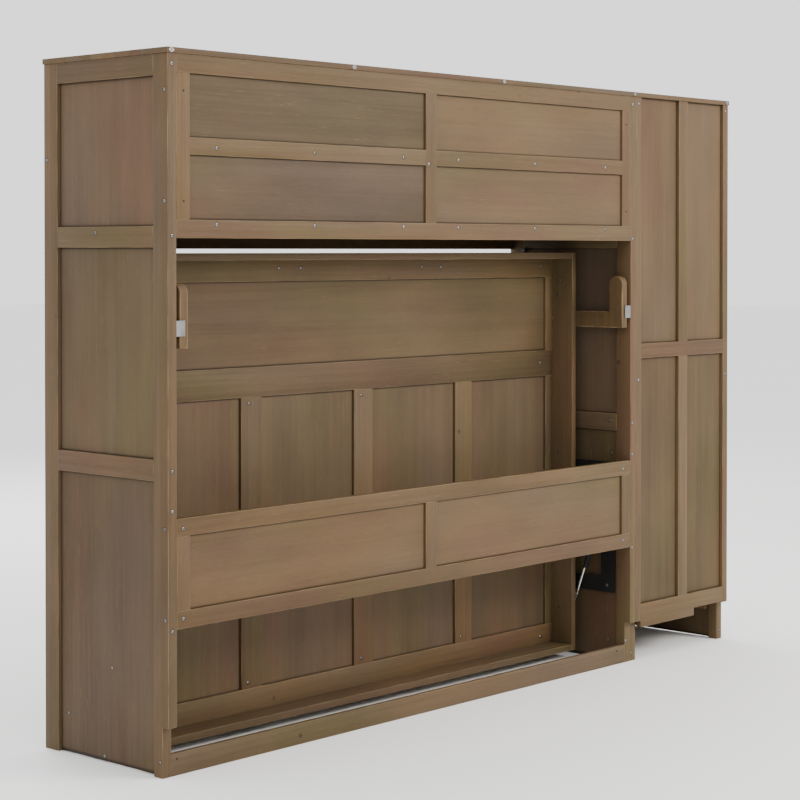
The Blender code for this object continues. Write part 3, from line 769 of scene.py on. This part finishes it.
def fronts():
    """The wardrobe's door, with a middle rail, and the drawer's front."""
    low_rail, top_rail = both_ends(span("wardrobe_door")[2], DOOR_FRAME_W)
    framed_front("wardrobe_door", (low_rail, DOOR_RAIL, top_rail), DOOR_FRAME_W)
    framed_front("drawer_front", both_ends(span("drawer_front")[2], DRAWER_FRAME_W), DOOR_FRAME_W)


def drawer_box():
    """Four walls and a bottom let into them."""
    along, deep, high = span("drawer_box")
    inner = shrink(along, DRAWER_WALL)
    clear = shrink(inner, JOINT)
    made = Joinery()
    for wall_along in ((along[0], inner[0]), (inner[1], along[1])):
        made.board((wall_along, deep, high), 1)
    for wall_deep in both_ends(deep, DRAWER_WALL):
        made.board((clear, wall_deep, high), 0)
    bottom = (high[0] + DRAWER_BOTTOM_UP, high[0] + DRAWER_WALL)
    made.panel((clear, shrink(deep, DRAWER_WALL + JOINT), bottom), 0)
    made.done("drawer_box")


# Steelwork

def carried(node, slot, bevel):
    """Keep a CAD node's shape, with its edges softened and its finish set."""
    item = frame["nodes"][node]
    item.data.materials.clear()
    item.data.materials.append(SLOTS[slot])
    soften = item.modifiers.new("soften", "BEVEL")
    soften.width = bevel
    soften.segments = 2
    soften.limit_method = "ANGLE"
    soften.angle_limit = math.radians(40)


def strut(side_name):
    """A gas strut: eye, end cap, barrel with a rolled mouth, bright rod and lower socket."""
    along = sum(span("strut_rod_" + side_name)[0]) / 2
    top = place(along, *STRUT_TOP)
    foot = place(along, *STRUT_FOOT)
    run = (foot - top).normalized()
    length = (foot - top).length
    mouth = length - STRUT_STROKE
    eye_r, eye_w, eye_soft = STRUT_EYE
    body = bmesh.new()
    revolve(body, rounded(eye_r, 0, eye_w, eye_soft), top - EYE_HALF, OUT_LEFT)
    barrel = [(0, 0.009), (0.0062, 0.009), (0.0068, 0.020), (0.0075, 0.022), (0.0096, 0.026),
              (BARREL_R, 0.029), (BARREL_R, mouth - 0.014), (BARREL_GROOVE_R, mouth - 0.012),
              (BARREL_GROOVE_R, mouth - 0.010), (BARREL_R, mouth - 0.008), (0.0097, mouth - 0.002),
              (0.0085, mouth), (0.0046, mouth), (0, mouth)]
    revolve(body, barrel, top, run)
    name = "strut_barrel_" + side_name
    piece(name + "_tube", body, "black_steel", NODE_BODY[name], (name,), sharp=35)
    rod = bmesh.new()
    bar = [(0, mouth - 0.030), (ROD_R, mouth - 0.029), (ROD_R, length - 0.006), (0, length - 0.006)]
    revolve(rod, bar, top, run, sides=24)
    name = "strut_rod_" + side_name
    piece(name + "_bar", rod, "bright_steel", NODE_BODY[name], (name,), sharp=35)
    socket_r, socket_w, socket_soft = STRUT_SOCKET
    socket = bmesh.new()
    revolve(socket, rounded(socket_r, 0, socket_w, socket_soft), foot - EYE_HALF, OUT_LEFT)
    piece("strut_socket_" + side_name, socket, "black_plastic", NODE_BODY[name], sharp=35)


def bolt(name, slot, tip, neck, end, pivot, radius, head):
    """A bolt along the bed's length with a chamfered hexagon head and a washer."""
    axis = OUT_RIGHT if end > tip else OUT_LEFT
    origin = place(tip, *pivot)
    neck_at = abs(neck - tip)
    end_at = abs(end - tip)
    head_at = neck_at + WASHER_T
    shank = [(0, 0), (radius - 0.0006, 0), (radius, 0.0006), (radius, neck_at), (0, neck_at)]
    hexagon = [(0, head_at), (head * 0.80, head_at), (head * 0.80, end_at - 0.0008), (head * 0.66, end_at),
               (0, end_at)]
    mesh_bm = bmesh.new()
    revolve(mesh_bm, shank, origin, axis)
    revolve(mesh_bm, rounded(head, neck_at, head_at, WASHER_T * 0.3), origin, axis)
    revolve(mesh_bm, hexagon, origin, axis, sides=6)
    piece(name + "_turned", mesh_bm, slot, NODE_BODY[name], (name,), sharp=35)


def bay_bolts():
    """Pivot bolts, strut studs and leg bolts, on both sides of the bay."""
    plans = (("bed_pivot_bolt_", "zinc", BED_PIVOT, 0.010, 0.0158, 0.0057),
             ("strut_stud_", "black_steel", STRUT_FOOT, 0.005, 0.0138, 0.0037),
             ("leg_bolt_", "zinc", LEG_PIVOT, 0.006, 0.0128, 0.0047))
    for prefix, slot, pivot, radius, head, head_t in plans:
        for side_name in ("left", "right"):
            low, high = span(prefix + side_name)[0]
            head_low = (side_name == "left") == (prefix == "leg_bolt_")
            tip, end = (high, low) if head_low else (low, high)
            neck = end + head_t if head_low else end - head_t
            bolt(prefix + side_name, slot, tip, neck, end, pivot, radius, head)


def handle(node):
    """A bar pull: two flared posts and a round-ended bar."""
    along, deep, high = span(node)
    level = sum(high) / 2
    bar_deep = deep[1] - 0.006
    tall = bar_deep - deep[0]
    mesh_bm = bmesh.new()
    bar = rounded(0.0059, 0, along[1] - along[0], 0.003)
    revolve(mesh_bm, bar, place(along[1], bar_deep, level), OUT_LEFT)
    flare = [(0, 0), (0.0078, 0), (0.0080, 0.0012), (0.0056, 0.005), (0.0046, 0.010), (0.0046, 0.024),
             (0.0050, tall), (0, tall)]
    for post in shrink(along, 0.016):
        revolve(mesh_bm, flare, place(post, deep[0], level), ROOM, sides=24)
    piece(node + "_bar", mesh_bm, "black_steel", NODE_BODY[node], (node,), sharp=35)


def knob(node):
    """A turned mushroom knob with a flange at its foot."""
    along, deep, high = span(node)
    base = place(sum(along) / 2, deep[0], sum(high) / 2)
    tall = deep[1] - deep[0]
    foot = [(0, 0), (0.0090, 0), (0.0092, 0.0012), (0.0074, 0.0028), (0.0060, 0.006)]
    cap = [(0.0064, 0.013), (0.0110, 0.0115), (0.0136, 0.0085), (0.0139, 0.006), (0.0128, 0.0025),
           (0.0090, 0.0006), (0, 0)]
    mesh_bm = bmesh.new()
    revolve(mesh_bm, foot + [(radius, tall - below) for radius, below in cap], base, ROOM)
    piece(node + "_turned", mesh_bm, "black_steel", NODE_BODY[node], (node,), sharp=50)


def hinge(node):
    """Three knuckles with softened rims, a leaf and its screws."""
    along, deep, high = span(node)
    radius = 0.0034
    gap = 0.0002
    axis = place(along[0] + radius, deep[1] - radius, high[0])
    step = (high[1] - high[0]) / 3
    mesh_bm = bmesh.new()
    for number in range(3):
        knuckle = rounded(radius, step * number + gap, step * (number + 1) - gap, 0.0005)
        revolve(mesh_bm, knuckle, axis, UP, sides=20)
    leaf_along = (along[0] + radius, along[1])
    leaf_deep = (deep[0], deep[0] + 0.0018)
    soft_block(mesh_bm, (leaf_along, leaf_deep, high), 0.0004)
    piece(node + "_leaf", mesh_bm, "zinc", NODE_BODY[node], (node,), sharp=35)
    heads = [(place(sum(leaf_along) / 2, leaf_deep[1], height), ROOM) for height in shrink(high, 0.012)]
    screws(node + "_screws", NODE_BODY[node], heads, radius=0.0034)


def hanging_rail():
    """A steel tube in two flanged sockets."""
    along, deep, high = span("hanging_rail")
    start = place(along[1], sum(deep) / 2, sum(high) / 2)
    length = along[1] - along[0]
    body = NODE_BODY["hanging_rail"]
    mesh_bm = bmesh.new()
    revolve(mesh_bm, rounded(0.0124, 0.001, length - 0.001, 0.001), start, OUT_LEFT)
    piece("hanging_rail_tube", mesh_bm, "bright_steel", body, ("hanging_rail",), sharp=35)
    cup = [(0.0128, 0.0165), (0.0158, 0.016), (0.0162, 0.0150), (0.0162, 0.004), (0.0235, 0.0025),
           (0.0238, 0.0004), (0.0128, 0.0004), (0.0128, 0.0165)]
    sockets = bmesh.new()
    for end, way in ((start, OUT_LEFT), (start + OUT_LEFT * length, OUT_RIGHT)):
        revolve(sockets, cup, end, way)
    piece("hanging_rail_sockets", sockets, "zinc", body, sharp=35)


def runner(node):
    """A folded steel runner: a web with a lip at top and bottom, and its slide bar."""
    along, deep, high = span(node)
    if node.endswith("outer"):
        web = (along[1] - SHEET_T, along[1])
        lip = (along[0] + 0.001, along[1])
        bar = (along[0] + 0.001, along[1] - 0.004)
    else:
        web = (along[0], along[0] + SHEET_T)
        lip = (along[0], along[1] - 0.001)
        bar = (along[0] + 0.004, along[1] - 0.001)
    low_lip, top_lip = both_ends(high, SHEET_T)
    mesh_bm = bmesh.new()
    for spans in ((web, deep, high), (lip, deep, low_lip), (lip, deep, top_lip),
                  (bar, shrink(deep, 0.01), shrink(high, 0.010))):
        soft_block(mesh_bm, spans, 0.0005)
    piece(node + "_channel", mesh_bm, "zinc", NODE_BODY[node], (node,), sharp=35)


def steelwork():
    """Everything of metal or moulded plastic except the screws."""
    for side_name in ("left", "right"):
        carried("mechanism_plate_" + side_name, "black_steel", 0.0005)
        carried("leg_keeper_" + side_name, "zinc", 0.0004)
        carried("bed_stop_" + side_name, "black_plastic", 0.0015)
        strut(side_name)
        handle("bed_handle_" + side_name)
    bay_bolts()
    for node in ("door_knob", "drawer_knob"):
        knob(node)
    for node in ("door_hinge_lower", "door_hinge_upper"):
        hinge(node)
    for node in ("drawer_runner_inner", "drawer_runner_outer"):
        runner(node)
    hanging_rail()


# Screws, as distances along, as heights, or as (along, height) or (deep, height)

HEADER_SCREWS = [BAY_MID + way * (0.130 + 0.391 * i) for way in (-1, 1) for i in range(3)]
HEADER_HEIGHTS = (1.541, 1.757)
CROSS_HEIGHTS = ((0.693, 0.442), (0.696, 0.442))
EDGE_HEIGHTS = (0.411, 0.744, 0.855, 1.509, 1.985)
STILE_HOLES = (1.605, 1.912)
END_FACE_SCREWS = ((0.539, 1.733), (0.014, 1.913), (0.014, 1.605), (0.315, 1.519), (0.015, 0.695),
                   (0.013, 0.442), (0.036, 0.044))
END_PANEL_SCREWS = ((0.259, 0.275), (0.458, 0.115), (0.293, 0.016))
BAY_PANEL_SCREWS = ((0.106, 0.071), (0.093, 0.742))
BAY_RAIL_SCREW = (0.093, 0.860)
BASE_SCREWS = ((2.019, 1.413), (2.016, 1.064), (0.585, 0.997), (1.084, 0.997), (0.578, 0.137),
               (1.083, 0.138), (1.578, 0.138), (2.019, 0.076))
HANDLE_SCREWS = [(BAY_MID + way * 0.334 + hole * 0.048, 1.414) for way in (-1, 1) for hole in (-1, 1)]
BED_RAIL_SCREWS = ((0.263, 1.361), (0.270, 1.310), (0.266, 0.744), (0.262, 0.180))
PLATE_SCREWS = ((0.100, 0.268), (0.382, 0.688), (0.382, 0.400), (0.100, 0.470))
TOP_PLATES = (0.012, 0.740, 1.450, 2.176)


def on_face(along, spots, facing):
    """Places at (deep, height) spots on a face that looks along the bed's length."""
    return [(place(along, deep, height), facing) for deep, height in spots]


def cabinet_screws():
    """The screws on the cabinet's rear faces, outer ends and bay walls."""
    rear = [(along, height) for along in HEADER_SCREWS for height in HEADER_HEIGHTS]
    rear += [(BAY_MID - 0.012, 1.740)]
    for along, heights in zip((BAY[0] + 0.024, BAY[1] - 0.043), CROSS_HEIGHTS):
        rear += [(along, height) for height in heights]
    for along in (sum(span("end_panel")[0]) / 2, sum(PARTITION) / 2 - 0.005):
        rear += [(along, height) for height in EDGE_HEIGHTS]
    rear += [(sum(INNER_SIDE) / 2, height) for height in (1.006, 1.990)]
    rear += [(sum(OUTER_SIDE) / 2, height) for height in (1.003, 1.990)]
    places = [(place(along, 0, height), REAR) for along, height in rear]
    notch = ((PARTITION[0] + 0.006, 0.077), (INNER_SIDE[0] + 0.005, 0.029), (sum(OUTER_SIDE) / 2, 0.032))
    places += [(place(along, NOTCH_DEEP, height), REAR) for along, height in notch]
    places += on_face(0, END_FACE_SCREWS, OUT_LEFT)
    places += on_face(SIDE_SET_BACK, END_PANEL_SCREWS, OUT_LEFT)
    places += on_face(BAY[1] + SIDE_SET_BACK, BAY_PANEL_SCREWS, OUT_LEFT)
    places += on_face(BAY[1], (BAY_RAIL_SCREW,), OUT_LEFT)
    places += on_face(BAY[0] - SIDE_SET_BACK, BAY_PANEL_SCREWS[:1], OUT_RIGHT)
    places += on_face(OUTER_SIDE[1], END_FACE_SCREWS, OUT_RIGHT)
    screws("cabinet_screws", "cabinet", places)
    painted_countersink_shade("cabinet_screws", "cabinet", places)


def small_screws():
    """Dark screws in the rear stiles, and the screws of the mechanism plates."""
    holes = [(place(along, 0.0002, height), REAR) for along in (BAY[0] + 0.027, BAY[1] - 0.029)
             for height in STILE_HOLES]
    holes += [(place(along, NOTCH_DEEP, 0.047), REAR) for along in (BAY[0] + 0.021, BAY[1] - 0.047)]
    screws("dark_stile_screws", "cabinet", holes, slot="black_steel", radius=0.0032)
    plate_low = span("mechanism_plate_left")[0][0] + 0.004
    plates = on_face(plate_low, PLATE_SCREWS, OUT_RIGHT)
    plates += on_face(across(plate_low), PLATE_SCREWS, OUT_LEFT)
    screws("plate_screws", "cabinet", plates, radius=0.0050)


def bed_screws():
    """The screws of the bed's base, handles and end rails."""
    rear = span("bed_base_panel")[1][0]
    places = [(place(along, rear, height), REAR) for along, height in (*BASE_SCREWS, *HANDLE_SCREWS)]
    inner_left = span("bed_rail_left")[0][1]
    inner_right = span("bed_rail_right")[0][0]
    for spot in BED_RAIL_SCREWS:
        places += on_face(inner_left, (spot,), OUT_RIGHT) + on_face(inner_right, (spot,), OUT_LEFT)
    screws("bed_screws", "bed", places, radius=0.0044)
    painted_countersink_shade("bed_screws", "bed", places, radius=0.0044)


def top_plates():
    """Small zinc plates on the rear edge of the top boards, each with one screw."""
    middle = sum(TOP) / 2
    rear = span("top_board")[1][0]
    places = [*TOP_PLATES, span("wardrobe_top_board")[0][1] - 0.014]
    mesh_bm = bmesh.new()
    for along in places:
        matrix = Matrix.Translation(place(along, rear - 0.0004, middle)) @ Matrix.Diagonal((*CORNER_PLATE, 1))
        verts = bmesh.ops.create_cube(mesh_bm, size=1.0, matrix=matrix)["verts"]
        through = [edge for edge in edges_of(verts) if abs((edge.verts[0].co - edge.verts[1].co).y) > 0.001]
        bmesh.ops.bevel(mesh_bm, geom=through, offset=0.0035, segments=5, affect="EDGES")
    piece("top_corner_plates", mesh_bm, "zinc", "cabinet", sharp=35)
    heads = [(place(along, rear - 0.001, middle), REAR) for along in places]
    screws("top_plate_screws", "cabinet", heads, radius=0.0040)


def all_screws():
    cabinet_screws()
    small_screws()
    bed_screws()
    top_plates()


# Stage

SURROUND = 1.7                      # brightness of the pale surround
FLOOR_HALF, FLOOR_DROP = 40.0, 0.0005
CAMERA_AT = (5.049, 4.5205, 1.468)
CAMERA_HEADING = Vector((-0.7364, -0.6765, 0))
CAMERA_PITCH = math.radians(0.863)
LENS, SHIFT_UP = 90.74, -0.149


def floor():
    """A plain pale floor with a little variation in its finish."""
    mesh = bpy.data.meshes.new("floor")
    corners = [(x * FLOOR_HALF, y * FLOOR_HALF, -FLOOR_DROP) for x, y in ((-1, -1), (1, -1), (1, 1), (-1, 1))]
    mesh.from_pydata(corners, [], [(0, 1, 2, 3)])
    graph = Graph("pale_floor")
    where = graph.add("ShaderNodeTexCoord").outputs["Object"]
    cloud = graph.noise(where, (0.7,) * 3, detail=3.0)
    graph.surface(Base_Color=graph.mix(cloud, (0.90, 0.90, 0.89, 1), (0.93, 0.93, 0.925, 1)), Roughness=0.75)
    mesh.materials.append(graph.material)
    item = bpy.data.objects.new("floor", mesh)
    bpy.context.scene.collection.objects.link(item)


def area_light(name, where, target, size, power, colour=(1, 1, 1)):
    """A soft rectangular light that looks at a target."""
    data = bpy.data.lights.new(name, "AREA")
    data.shape = "RECTANGLE"
    data.size, data.size_y = size
    data.energy = power
    data.color = colour
    item = bpy.data.objects.new(name, data)
    bpy.context.scene.collection.objects.link(item)
    item.location = where
    item.rotation_euler = (Vector(target) - Vector(where)).to_track_quat("-Z", "Y").to_euler()


def studio():
    """A pale surround and three large soft lights."""
    world = bpy.data.worlds.new("studio")
    world.use_nodes = True
    world.node_tree.nodes["Background"].inputs["Color"].default_value = (1.0, 1.0, 1.0, 1)
    world.node_tree.nodes["Background"].inputs["Strength"].default_value = SURROUND
    bpy.context.scene.world = world
    area_light("key", (-2.2, 5.0, 3.8), (-0.2, 0.2, 1.3), (2.6, 1.8), 330, (1.0, 0.965, 0.91))
    area_light("fill", (5.5, 2.0, 4.2), (1.2, 0.0, 1.7), (2.0, 2.0), 60)
    area_light("room_side", (-1.0, -6.0, 4.0), (0.0, 0.0, 0.9), (4.5, 3.0), 300)


def camera():
    """The camera, level but for a slight pitch, with the frame shifted so that uprights stay upright."""
    data = bpy.data.cameras.new("camera")
    data.sensor_width = 36.0
    data.lens = LENS
    data.shift_y = SHIFT_UP
    data.clip_end = 200.0
    item = bpy.data.objects.new("camera", data)
    bpy.context.scene.collection.objects.link(item)
    item.location = CAMERA_AT
    heading = CAMERA_HEADING.normalized() * math.cos(CAMERA_PITCH)
    item.rotation_euler = (heading - UP * math.sin(CAMERA_PITCH)).to_track_quat("-Z", "Y").to_euler()
    bpy.context.scene.camera = item


cabinet_boards()
bed_boards()
legs()
fronts()
drawer_box()
steelwork()
all_screws()
floor()
studio()
camera()
